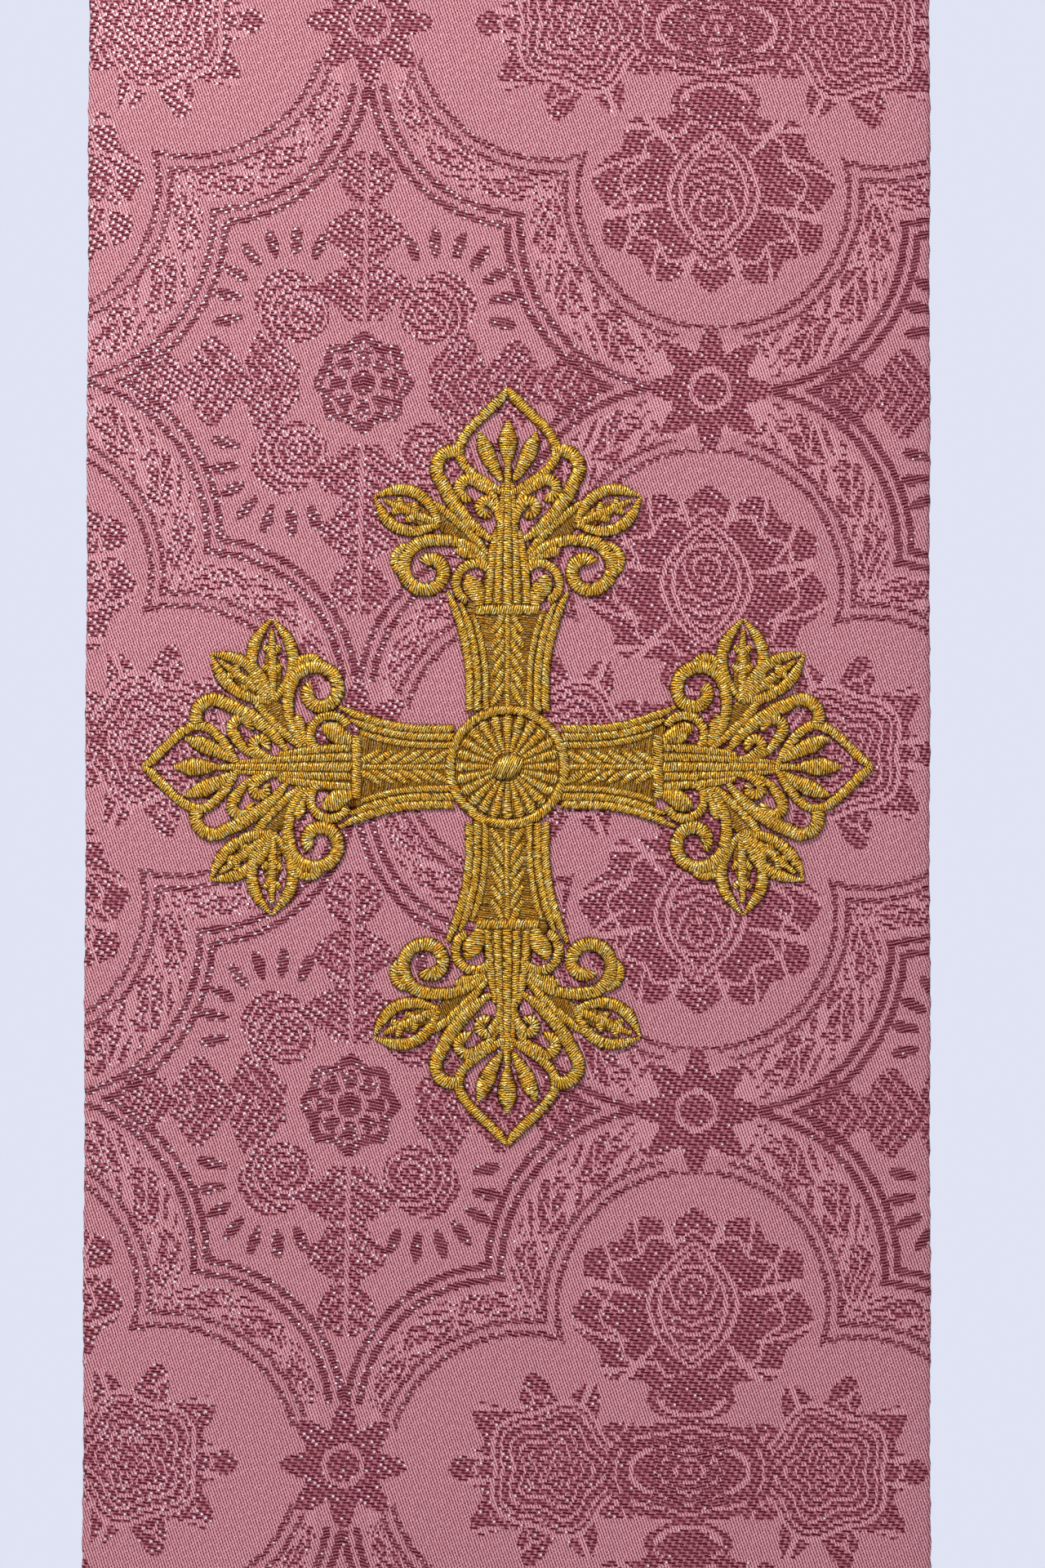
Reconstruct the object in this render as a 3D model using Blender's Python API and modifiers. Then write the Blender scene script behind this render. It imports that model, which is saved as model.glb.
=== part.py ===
# Clerical stole as it is worn: two shaped cloth bands joined at the nape, each with an embroidered cross.
# Metres, +Z up. The wearer faces -Y. The origin is the middle of the nape seam, on the side that lies on the neck.

import math

import bmesh
import bpy
import numpy as np
from mathutils import Matrix, Vector
from mathutils.geometry import delaunay_2d_cdt

MM = 0.001

# The cloth wall: brocade, interlining and back cloth sewn as one
WALL = 2.0 * MM
SEAM_GAP = 0.36 * MM  # on the body side, which leaves 0.3 mm between the outer faces
CROSS_LIFT = 0.3 * MM
FABRIC_ROSE = (0.52, 0.19, 0.235, 1.0)
THREAD_GOLD = (0.50, 0.27, 0.045, 1.0)

# Places down the wearer's left band, a row for each: the middle of the band on its body side in mm, the way
# that its width runs (yaw from +X towards +Y, dip below level, in degrees), its width and its crown in mm
STATION_COLUMNS = ("x", "y", "z", "yaw", "dip", "width", "crown")
STATIONS = (
    (0, 0, 0, 90, 70, 110, 0.0),
    (34, -4, 5, 79, 67, 111, 1.0),
    (67, -17, 14, 62, 59, 112, 2.0),
    (97, -40, 25, 41, 45, 114, 2.5),
    (120, -72, 32, 18, 31, 116, 2.5),
    (129, -108, 22, 6, 25, 118, 2.0),
    (127, -139, -8, 3, 20, 120, 2.0),
    (122, -162, -46, 5, 12, 122, 2.5),
    (118, -181, -96, 8, 6, 124, 3.0),
    (114, -196, -156, 9, 2, 126, 3.5),
    (111, -207, -228, 9, 0, 128, 4.0),
    (109, -214, -330, 8, 0, 130, 4.0),
    (107, -218, -500, 7, 0, 132, 3.5),
    (106, -219, -720, 6, 0, 134, 3.0),
    (106, -217, -920, 5, 0, 135, 3.0),
    (106, -214, -1104, 5, 0, 136, 3.0),
)

# Soft folds along the hanging cloth: which band, where across it and along it, slant in mm a metre, size in mm
FOLD_COLUMNS = ("side", "across", "from_nape", "to_hem", "slant", "height", "half_width")
FOLDS = (
    (1, 30, 250, 860, -30, 2.6, 15),
    (1, -22, 330, 1040, 25, -2.2, 18),
    (1, -44, 620, 1180, 40, 1.8, 12),
    (1, 18, 820, 1230, -35, 1.4, 14),
    (-1, 26, 270, 800, -45, 2.4, 16),
    (-1, -28, 300, 900, 30, -2.4, 17),
    (-1, 10, 560, 1000, 30, 1.2, 16),
    (-1, -40, 480, 960, -35, 1.5, 13),
)

# The outer edge turns back a little all down the front
EDGE_ROLL = 2.2 * MM
EDGE_ROLL_SHARE = 0.30

# How far apart the rows of faces lie down the band: up to each distance from the nape, in mm
ROW_COLUMNS = ("up_to", "step")
ROW_STEPS = ((300, 12), (560, 20), (5000, 30))
FACES_ACROSS = 12
SPLINE_STEPS = 60

# The cross: its middle above the hem, and half of one arm's outline in mm, from the wheel to the tip
CROSS_ABOVE_HEM = 200 * MM
OUTLINE_COLUMNS = ("along", "aside", "bulge")
ARM_OUTLINE = (
    (8.05, 6.25, -0.3),
    (17.0, 6.3, -0.1),
    (23.0, 7.4, -0.5),
    (28.0, 10.6, 0.2),
    (26.9, 12.6, 0.3),
    (27.6, 15.9, 0.9),
    (33.5, 17.6, 0.4),
    (36.0, 16.0, -0.2),
    (38.8, 18.4, 0.2),
    (43.2, 21.0, 0.2),
    (45.2, 16.3, 0.4),
    (44.7, 12.6, -0.1),
    (48.8, 12.2, 0.7),
    (51.3, 9.9, 0.2),
    (50.7, 8.6, 0.3),
    (55.0, 4.3, -0.3),
    (60.0, 0.0, 0.0),
)
ARMS = 4
WHEEL_RADIUS = 10.2
WHEEL_RIM = 2.0
HUB_RADIUS = 2.6
OUTLINE_STEP = 2.4
INNER_STEP = 3.0
RIM_MARGIN = 1.3

# Heights of the stitching over the cloth, in mm
STITCH_EDGE = 0.7
STITCH_TOP = 1.3
WHEEL_TOP = 1.6
WHEEL_RIM_TOP = 2.2


def clear_scene():
    for old in list(bpy.data.objects):
        bpy.data.objects.remove(old, do_unlink=True)


def new_collection(name):
    made = bpy.data.collections.new(name)
    bpy.context.scene.collection.children.link(made)
    return made


def new_material(name, colour, roughness, metallic):
    made = bpy.data.materials.new(name)
    made.use_nodes = True
    shader = made.node_tree.nodes["Principled BSDF"]
    shader.inputs["Base Color"].default_value = colour
    shader.inputs["Roughness"].default_value = roughness
    shader.inputs["Metallic"].default_value = metallic
    return made


def smooth_between(before, start, end, after, share):
    """A Catmull-Rom curve from start to end, at each share of the way."""
    t = share[:, None]
    return 0.5 * (
        2 * start
        + (end - before) * t
        + (2 * before - 5 * start + 4 * end - after) * t**2
        + (3 * start - before - 3 * end + after) * t**3
    )


def band_line():
    """Columns of the stations, smoothed, and each row's distance from the nape along the band's middle."""
    rows = np.array(STATIONS, float)
    nape_twin = rows[1] * np.array([-1, 1, 1, 1, 1, 1, 1])
    nape_twin[3] = 180 - rows[1][3]
    padded = np.vstack([nape_twin, rows, 2 * rows[-1] - rows[-2]])
    share = np.linspace(0, 1, SPLINE_STEPS, endpoint=False)
    pieces = [smooth_between(*padded[i : i + 4], share) for i in range(len(rows) - 1)]
    line = np.vstack([*pieces, rows[-1:]])
    line[:, [0, 1, 2, 5, 6]] *= MM
    steps = np.linalg.norm(np.diff(line[:, :3], axis=0), axis=1)
    return line, np.concatenate([[0.0], np.cumsum(steps)])


LINE, ALONG = band_line()
BAND_LENGTH = float(ALONG[-1])


def station_at(along):
    """Middle, width direction, outward direction, width and crown at a distance from the nape."""
    row = [np.interp(along, ALONG, LINE[:, column]) for column in range(7)]
    middle = Vector(row[:3])
    yaw, dip = math.radians(row[3]), math.radians(row[4])
    across = Vector((math.cos(dip) * math.cos(yaw), math.cos(dip) * math.sin(yaw), -math.sin(dip)))
    reach = 4 * MM
    ends = [
        Vector([np.interp(a, ALONG, LINE[:, column]) for column in range(3)])
        for a in (max(along - reach, 0.0), min(along + reach, BAND_LENGTH))
    ]
    forward = (ends[1] - ends[0]).normalized()
    if along < reach:
        forward = Vector((1.0, 0.0, 0.0))
    return middle, across, forward.cross(across).normalized(), row[5], row[6]


def fold_height(side, along, across):
    """How far the folds lift the cloth there, in metres."""
    height = 0.0
    for fold in FOLDS:
        row = dict(zip(FOLD_COLUMNS, fold))
        if row["side"] != side:
            continue
        start, end = row["from_nape"] * MM, row["to_hem"] * MM
        share = (along - start) / (end - start)
        if not 0 < share < 1:
            continue
        centre = row["across"] * MM + row["slant"] * MM * (along - (start + end) / 2)
        away = (across - centre) / (row["half_width"] * MM)
        height += row["height"] * MM * math.sin(math.pi * share) ** 2 * math.exp(-away * away)
    return height


def band_point(side, along, share, lift):
    """A point of the band: share of its width from inner to outer edge, lifted off its body side."""
    middle, across, outward, width, crown = station_at(along)
    away = (share - 0.5) * width
    bow = crown * (1 - (2 * share - 1) ** 2)
    past = max(0.0, share - (1 - EDGE_ROLL_SHARE)) / EDGE_ROLL_SHARE
    settled = min(1.0, along / (300 * MM))
    bow += fold_height(side, along, away) - EDGE_ROLL * settled * past * past
    point = middle + across * away + outward * (bow + lift)
    point.x = max(point.x, SEAM_GAP / 2)
    return Vector((side * point.x, point.y, point.z))


def row_distances():
    """Distances from the nape of the band's rows of points."""
    rows = [0.0]
    for row in ROW_STEPS:
        limit, step = (value * MM for value in row)
        stretch = min(limit, BAND_LENGTH) - rows[-1]
        if stretch <= 0:
            break
        count = max(1, round(stretch / step))
        start = rows[-1]
        rows += [start + stretch * (i + 1) / count for i in range(count)]
    return rows


def link_object(name, mesh_maker, material, collection):
    mesh = bpy.data.meshes.new(name)
    mesh_maker.to_mesh(mesh)
    mesh_maker.free()
    mesh.materials.append(material)
    made = bpy.data.objects.new(name, mesh)
    collection.objects.link(made)
    return made


def make_band(name, side, material, collection):
    """One cloth band, from the nape seam to the hem: a grid laid on the body side, then thickened outwards."""
    rows = row_distances()
    bm = bmesh.new()
    bmesh.ops.create_grid(bm, x_segments=FACES_ACROSS, y_segments=len(rows) - 1, size=0.5)
    for vertex in bm.verts:
        share = vertex.co.x + 0.5
        row = rows[round((vertex.co.y + 0.5) * (len(rows) - 1))]
        vertex.co = band_point(side, row, share, 0.0)
    if side > 0:
        bmesh.ops.reverse_faces(bm, faces=bm.faces[:])
    for face in bm.faces:
        face.smooth = True
    band = link_object(name, bm, material, collection)
    wall = band.modifiers.new("wall", "SOLIDIFY")
    wall.thickness = WALL
    wall.offset = 1.0
    return band


def arc_points(start, end, bulge, step):
    """Points from start up to, but without, end, on an arc that stands bulge to the left of the chord."""
    chord = end - start
    count = max(1, round(chord.length / step))
    normal = Vector((-chord.y, chord.x)).normalized()
    return [
        start + chord * (i / count) + normal * (bulge * 4 * (i / count) * (1 - i / count))
        for i in range(count)
    ]


def cross_outline():
    """The whole cross in mm, anticlockwise, as four turned arms of two mirrored halves each."""
    keys = [(Vector((row[1], row[0])), row[2]) for row in ARM_OUTLINE]
    right_half = []
    for (start, bulge), (end, _) in zip(keys, keys[1:]):
        right_half += arc_points(start, end, -bulge, OUTLINE_STEP)
    tip = keys[-1][0]
    left_half = [Vector((-point.x, point.y)) for point in reversed(right_half)]
    arm = right_half + [tip] + left_half
    between = [Vector((-WHEEL_RADIUS, WHEEL_RADIUS)) * math.sqrt(0.5)]
    outline = []
    for turn in range(ARMS):
        matrix = Matrix.Rotation(turn * 2 * math.pi / ARMS, 2)
        outline += [matrix @ point for point in arm + between]
    return outline


def ring(radius, count):
    return [
        Vector((math.cos(2 * math.pi * i / count), math.sin(2 * math.pi * i / count))) * radius
        for i in range(count)
    ]


def distance_to_outline(point, outline):
    nearest = 1e9
    for start, end in zip(outline, outline[1:] + outline[:1]):
        edge = end - start
        share = max(0.0, min(1.0, (point - start).dot(edge) / edge.length_squared))
        nearest = min(nearest, (point - start - edge * share).length)
    return nearest


def is_inside(point, outline):
    inside = False
    for start, end in zip(outline, outline[1:] + outline[:1]):
        if (start.y > point.y) != (end.y > point.y):
            crossing = start.x + (point.y - start.y) / (end.y - start.y) * (end.x - start.x)
            inside ^= point.x < crossing
    return inside


def stitch_height(point, outline):
    """How high the stitching stands over the cloth there, in mm."""
    from_middle = point.length
    if from_middle < HUB_RADIUS:
        return WHEEL_RIM_TOP
    if from_middle < WHEEL_RADIUS - WHEEL_RIM - 0.1:
        return WHEEL_TOP
    if from_middle < WHEEL_RADIUS - 0.4:
        return WHEEL_RIM_TOP
    depth = min(1.0, distance_to_outline(point, outline) / RIM_MARGIN)
    return STITCH_EDGE + (STITCH_TOP - STITCH_EDGE) * depth


def cross_points():
    """Points and triangles of the flat cross in mm."""
    outline = cross_outline()
    rings = [
        ring(WHEEL_RADIUS - 0.1, 24),
        ring(WHEEL_RADIUS - WHEEL_RIM / 2, 24),
        ring(WHEEL_RADIUS - WHEEL_RIM - 0.2, 24),
        ring(HUB_RADIUS + 1.2, 12),
        ring(HUB_RADIUS - 0.2, 8),
    ]
    inner = [Vector((0.0, 0.0))] + [point for points in rings for point in points]
    reach = int(62 / INNER_STEP)
    for i in range(-reach, reach + 1):
        for j in range(-reach, reach + 1):
            point = Vector((i, j)) * INNER_STEP
            if point.length < WHEEL_RADIUS + 1.0 or not is_inside(point, outline):
                continue
            if distance_to_outline(point, outline) > RIM_MARGIN:
                inner.append(point)
    count = len(outline)
    edges = [(i, (i + 1) % count) for i in range(count)]
    made = delaunay_2d_cdt(outline + inner, edges, [], 1, 1e-6)
    return made[0], made[2], outline


def make_cross(name, side, material, collection):
    """The embroidered cross: its flat shape laid on the band's front, with the stitching raised in its outer points."""
    points, triangles, outline = cross_points()
    bm = bmesh.new()
    lower = [bm.verts.new((point.x, point.y, 0.0)) for point in points]
    for triangle in triangles:
        bm.faces.new([lower[i] for i in triangle])
    raised = bmesh.ops.extrude_face_region(bm, geom=bm.faces[:])["geom"]
    for vertex in [item for item in raised if isinstance(item, bmesh.types.BMVert)]:
        vertex.co.z = stitch_height(vertex.co.xy, outline)
    bm.verts.index_update()
    centre = BAND_LENGTH - CROSS_ABOVE_HEM
    for vertex in bm.verts:
        flat = vertex.co * MM
        along = centre - flat.y
        width = float(np.interp(along, ALONG, LINE[:, 5]))
        share = 0.5 + flat.x / width
        vertex.co = band_point(side, along, share, WALL + CROSS_LIFT + flat.z)
    bmesh.ops.recalc_face_normals(bm, faces=bm.faces[:])
    return link_object(name, bm, material, collection)


def main():
    clear_scene()
    stole = new_collection("clerical_stole")
    rose = new_material("rose_brocade", FABRIC_ROSE, 0.6, 0.0)
    gold = new_material("gold_thread", THREAD_GOLD, 0.4, 0.3)
    for side, word in ((1, "left"), (-1, "right")):
        make_band(f"band_{word}", side, rose, stole)
        make_cross(f"cross_{word}", side, gold, stole)


main()
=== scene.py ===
import math

import bmesh
import bpy
import numpy as np
from mathutils import Matrix, Vector


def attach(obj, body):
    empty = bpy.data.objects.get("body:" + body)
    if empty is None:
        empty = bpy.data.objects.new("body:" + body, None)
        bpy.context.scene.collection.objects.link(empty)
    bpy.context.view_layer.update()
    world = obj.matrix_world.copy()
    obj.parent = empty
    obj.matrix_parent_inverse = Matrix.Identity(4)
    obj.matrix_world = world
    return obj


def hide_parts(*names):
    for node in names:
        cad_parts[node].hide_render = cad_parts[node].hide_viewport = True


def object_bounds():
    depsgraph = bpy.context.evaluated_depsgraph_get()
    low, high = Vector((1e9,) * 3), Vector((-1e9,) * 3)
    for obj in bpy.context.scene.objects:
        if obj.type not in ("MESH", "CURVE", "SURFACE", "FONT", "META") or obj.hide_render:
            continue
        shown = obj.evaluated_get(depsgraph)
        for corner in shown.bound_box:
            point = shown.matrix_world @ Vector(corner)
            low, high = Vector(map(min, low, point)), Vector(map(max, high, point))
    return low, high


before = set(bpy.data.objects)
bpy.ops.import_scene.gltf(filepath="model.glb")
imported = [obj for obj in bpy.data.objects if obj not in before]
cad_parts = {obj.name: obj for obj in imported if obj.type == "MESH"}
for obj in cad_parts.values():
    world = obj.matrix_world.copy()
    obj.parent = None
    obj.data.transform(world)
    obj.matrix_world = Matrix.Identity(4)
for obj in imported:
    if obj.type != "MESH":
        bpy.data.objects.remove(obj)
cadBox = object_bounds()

mm = 0.001
rng = np.random.default_rng(7)

# the cut and hang of the bands
bandCut = {
    "wall": 2.0 * mm,
    "seamGap": 0.04 * mm,        # the nape seam is sewn shut
    "edgeRound": 0.95 * mm,      # radius of the turned edges
    "edgeRoll": 2.2 * mm,        # how far the outer edge turns back
    "edgeRollShare": 0.30,
    "rowStep": 1.25 * mm,
    "edgeWave": 0.11 * mm,       # how far the sewn edges waver
    "frontPoints": 30,
    "backPoints": 18,
    "curveSteps": 60,            # points of the curve from one station to the next
    "flatSteps": 1200,
    "lookAhead": 4.0 * mm,       # how far on each side the forward direction is taken
    "rollSettled": 300 * mm,     # the edge's roll has its full height from here on
    "crossAboveHem": 200 * mm,
    # middle of the band on its body side in mm, the way its width runs, width and crown, from nape to hem
    "stationColumns": ("x", "y", "z", "yaw", "dip", "width", "crown"),
    "stations": (
        (0, 0, 0, 90, 70, 110, 0.0),
        (34, -4, 5, 79, 67, 111, 1.0),
        (67, -17, 14, 62, 59, 112, 2.0),
        (97, -40, 25, 41, 45, 114, 2.5),
        (120, -72, 32, 18, 31, 116, 2.5),
        (129, -108, 22, 6, 25, 118, 2.0),
        (127, -139, -8, 3, 20, 120, 2.0),
        (122, -162, -46, 5, 12, 122, 2.5),
        (118, -181, -96, 8, 6, 124, 3.0),
        (114, -196, -156, 9, 2, 126, 3.5),
        (111, -207, -228, 9, 0, 128, 4.0),
        (109, -214, -330, 8, 0, 130, 4.0),
        (107, -218, -500, 7, 0, 132, 3.5),
        (106, -219, -720, 6, 0, 134, 3.0),
        (106, -217, -920, 5, 0, 135, 3.0),
        (106, -214, -1104, 5, 0, 136, 3.0),
    ),
    # which band, where across it, from and to along it, slant in mm a metre, height and half width in mm
    "foldColumns": ("side", "across", "start", "end", "slant", "height", "halfWidth"),
    "folds": (
        (1, 30, 250, 860, -30, 2.6, 15),
        (1, -22, 330, 1040, 25, -2.2, 18),
        (1, -44, 620, 1180, 40, 1.8, 12),
        (1, 18, 820, 1230, -35, 1.4, 14),
        (-1, 26, 270, 800, -45, 2.4, 16),
        (-1, -28, 300, 900, 30, -2.4, 17),
        (-1, 10, 560, 1000, 30, 1.2, 16),
        (-1, -40, 480, 960, -35, 1.5, 13),
    ),
}


def curveThrough(rows, cameFrom, goesTo, count):
    # a smooth curve through the rows, with count points from each row to the next
    padded = np.vstack([cameFrom, rows, goesTo])
    t = np.linspace(0, 1, count, endpoint=False)[:, None]
    pieces = []
    for i in range(len(rows) - 1):
        before, start, end, after = padded[i:i + 4]
        pieces.append(0.5 * (2 * start + (end - before) * t
                             + (2 * before - 5 * start + 4 * end - after) * t ** 2
                             + (3 * start - before - 3 * end + after) * t ** 3))
    return np.vstack([*pieces, rows[-1:]])


def bandLine():
    # the middle of the left band; at the nape it comes from the first station of the right one
    rows = np.array(bandCut["stations"], float)
    names = bandCut["stationColumns"]
    twin = rows[1].copy()
    twin[names.index("x")] *= -1
    twin[names.index("yaw")] = 180 - twin[names.index("yaw")]
    line = curveThrough(rows, twin, 2 * rows[-1] - rows[-2], bandCut["curveSteps"])
    for column, name in enumerate(names):
        if name not in ("yaw", "dip"):
            line[:, column] *= mm
    steps = np.linalg.norm(np.diff(line[:, :3], axis=0), axis=1)
    return line, np.concatenate([[0.0], np.cumsum(steps)])


line, lineAlong = bandLine()
bandLength = float(lineAlong[-1])
crossAlong = bandLength - bandCut["crossAboveHem"]


def columnAt(along, name):
    return np.interp(along, lineAlong, line[:, bandCut["stationColumns"].index(name)])


def placeAt(along):
    return np.stack([columnAt(along, name) for name in "xyz"], axis=-1)


def unit(vectors):
    return vectors / np.linalg.norm(vectors, axis=-1, keepdims=True)


def bandFrames(along):
    # middle, direction across and direction outwards for the wearer's left band
    along = np.clip(along, 0, bandLength)
    yaw = np.radians(columnAt(along, "yaw"))
    dip = np.radians(columnAt(along, "dip"))
    across = np.stack([np.cos(dip) * np.cos(yaw), np.cos(dip) * np.sin(yaw), -np.sin(dip)], axis=-1)
    reach = bandCut["lookAhead"]
    forward = unit(placeAt(np.minimum(along + reach, bandLength)) - placeAt(np.maximum(along - reach, 0)))
    forward[along < reach] = (1.0, 0.0, 0.0)
    return placeAt(along), across, forward, unit(np.cross(forward, across))


def foldHeight(side, along, away):
    height = np.zeros_like(away)
    for fold in bandCut["folds"]:
        row = dict(zip(bandCut["foldColumns"], fold))
        if row["side"] != side:
            continue
        start, end = row["start"] * mm, row["end"] * mm
        share = np.clip((along - start) / (end - start), 0, 1)
        centre = row["across"] * mm + row["slant"] * mm * (along - (start + end) / 2)
        hill = np.exp(-((away - centre) / (row["halfWidth"] * mm)) ** 2)
        height += row["height"] * mm * np.sin(np.pi * share) ** 2 * hill
    return height


def bandPoints(side, along, away, lift):
    # away runs from the inner to the outer edge in metres, lift is off the body side
    given = [np.atleast_1d(np.asarray(value, float)) for value in (along, away, lift)]
    along, away, lift = np.broadcast_arrays(*given)
    middle, across, forward, outward = bandFrames(along)
    past = along - np.clip(along, 0, bandLength)
    share = away / columnAt(along, "width") + 0.5
    bow = columnAt(along, "crown") * (1 - (2 * share - 1) ** 2)
    rolled = np.maximum(0, share - (1 - bandCut["edgeRollShare"])) / bandCut["edgeRollShare"]
    settled = np.minimum(1, along / bandCut["rollSettled"])
    bow = bow + foldHeight(side, along, away) - bandCut["edgeRoll"] * settled * rolled ** 2
    points = middle + across * away[..., None] + outward * (bow + lift)[..., None]
    points = points + forward * past[..., None]
    points[..., 0] = np.maximum(points[..., 0], bandCut["seamGap"] / 2)
    points[..., 0] *= side
    return points


def flatCut():
    # unrolls the middle of the band flat; the uv made from it carries the brocade
    along = np.linspace(0, bandLength, bandCut["flatSteps"])
    middle, across, forward, outward = bandFrames(along)
    turn = np.zeros_like(along)
    turn[1:] = np.sum(np.diff(forward, axis=0) * (across[1:] + across[:-1]) / 2, axis=1)
    heading = np.cumsum(turn)
    heading -= np.interp(crossAlong, along, heading)
    step = along[1] - along[0]
    u = np.cumsum(np.sin(heading)) * step
    v = -np.cumsum(np.cos(heading)) * step
    u -= np.interp(crossAlong, along, u)
    v -= np.interp(crossAlong, along, v)
    return along, heading, u, v


flatAlong, flatHeading, flatU, flatV = flatCut()


def flatPoints(side, along, away):
    # where a point of the band lies on the flat cloth, in metres from the middle of the cross
    heading = np.interp(along, flatAlong, flatHeading)
    u = np.interp(along, flatAlong, flatU) + away * np.cos(heading)
    v = np.interp(along, flatAlong, flatV) + away * np.sin(heading) - np.maximum(0, along - bandLength)
    return np.stack([u * side, v], axis=-1)


# materials
class Wire:
    # a socket of a node tree that can be used in a sum
    def __init__(self, tree, socket):
        self.tree, self.socket = tree, socket

    def sum(self, operation, *others):
        node = self.tree.nodes.new("ShaderNodeMath")
        node.operation = operation
        for slot, value in enumerate((self,) + others):
            if isinstance(value, Wire):
                self.tree.links.new(value.socket, node.inputs[slot])
            else:
                node.inputs[slot].default_value = value
        return Wire(self.tree, node.outputs[0])

    def __add__(self, other):
        return self.sum("ADD", other)

    def __sub__(self, other):
        return self.sum("SUBTRACT", other)

    def __mul__(self, other):
        return self.sum("MULTIPLY", other)

    def __truediv__(self, other):
        return self.sum("DIVIDE", other)

    def __abs__(self):
        return self.sum("ABSOLUTE")

    def __lt__(self, other):
        return self.sum("LESS_THAN", other)

    def __gt__(self, other):
        return self.sum("GREATER_THAN", other)

    def times(self, factor, plus):
        return self.sum("MULTIPLY_ADD", factor, plus)

    def floor(self):
        return self.sum("FLOOR")

    def fract(self):
        return self.sum("FRACT")

    def least(self, other):
        return self.sum("MINIMUM", other)

    def most(self, other):
        return self.sum("MAXIMUM", other)

    def away(self):
        # one minus it
        return self.times(-1.0, 1.0)

    def between(self, low, high):
        # 0 at low and 1 at high, held there beyond them; low may be above high
        node = self.tree.nodes.new("ShaderNodeMapRange")
        self.tree.links.new(self.socket, node.inputs["Value"])
        node.inputs["From Min"].default_value = low
        node.inputs["From Max"].default_value = high
        return Wire(self.tree, node.outputs["Result"])


def lengthOf(x, y):
    return (x * x).times(1.0, y * y).sum("SQRT")


def pack(x, y, z=0.0):
    node = x.tree.nodes.new("ShaderNodeCombineXYZ")
    for slot, value in enumerate((x, y, z)):
        if isinstance(value, Wire):
            x.tree.links.new(value.socket, node.inputs[slot])
        else:
            node.inputs[slot].default_value = value
    return Wire(x.tree, node.outputs[0])


def dice(vector):
    # one random number for each whole-number place
    node = vector.tree.nodes.new("ShaderNodeTexWhiteNoise")
    node.noise_dimensions = "3D"
    vector.tree.links.new(vector.socket, node.inputs["Vector"])
    return Wire(vector.tree, node.outputs["Value"])


def cloud(vector, scale, detail=2.0):
    node = vector.tree.nodes.new("ShaderNodeTexNoise")
    vector.tree.links.new(vector.socket, node.inputs["Vector"])
    node.inputs["Scale"].default_value = scale
    node.inputs["Detail"].default_value = detail
    return Wire(vector.tree, node.outputs["Fac"])


def oval(spot, x, y, length, width, turn):
    # below 1 inside a leaf-like oval, turned anticlockwise from +X in degrees
    node = spot.tree.nodes.new("ShaderNodeMapping")
    node.vector_type = "TEXTURE"
    node.inputs["Location"].default_value = (x, y, 0)
    node.inputs["Rotation"].default_value = (0, 0, math.radians(turn))
    node.inputs["Scale"].default_value = (length / 2, width / 2, 1)
    spot.tree.links.new(spot.socket, node.inputs["Vector"])
    size = spot.tree.nodes.new("ShaderNodeVectorMath")
    size.operation = "LENGTH"
    spot.tree.links.new(node.outputs[0], size.inputs[0])
    return Wire(spot.tree, size.outputs["Value"])


def colourMix(share, first, second):
    node = share.tree.nodes.new("ShaderNodeMix")
    node.data_type = "RGBA"
    share.tree.links.new(share.socket, node.inputs[0])
    for slot, value in ((6, first), (7, second)):
        if isinstance(value, Wire):
            share.tree.links.new(value.socket, node.inputs[slot])
        else:
            node.inputs[slot].default_value = (*value, 1.0)
    return Wire(share.tree, node.outputs[2])


def bump(height, strength, distance):
    node = height.tree.nodes.new("ShaderNodeBump")
    node.inputs["Strength"].default_value = strength
    node.inputs["Distance"].default_value = distance
    height.tree.links.new(height.socket, node.inputs["Height"])
    return Wire(height.tree, node.outputs[0])


def newMaterial(name, **constants):
    material = bpy.data.materials.new(name)
    material.use_nodes = True
    shader = material.node_tree.nodes["Principled BSDF"]
    for socket, value in constants.items():
        shader.inputs[socket.replace("_", " ")].default_value = value
    return material, material.node_tree, shader


def uvOf(tree, name):
    node = tree.nodes.new("ShaderNodeUVMap")
    node.uv_map = name
    split = tree.nodes.new("ShaderNodeSeparateXYZ")
    tree.links.new(node.outputs[0], split.inputs[0])
    return Wire(tree, split.outputs[0]), Wire(tree, split.outputs[1])


def feed(tree, wire, shader, socket):
    tree.links.new(wire.socket, shader.inputs[socket])


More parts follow.
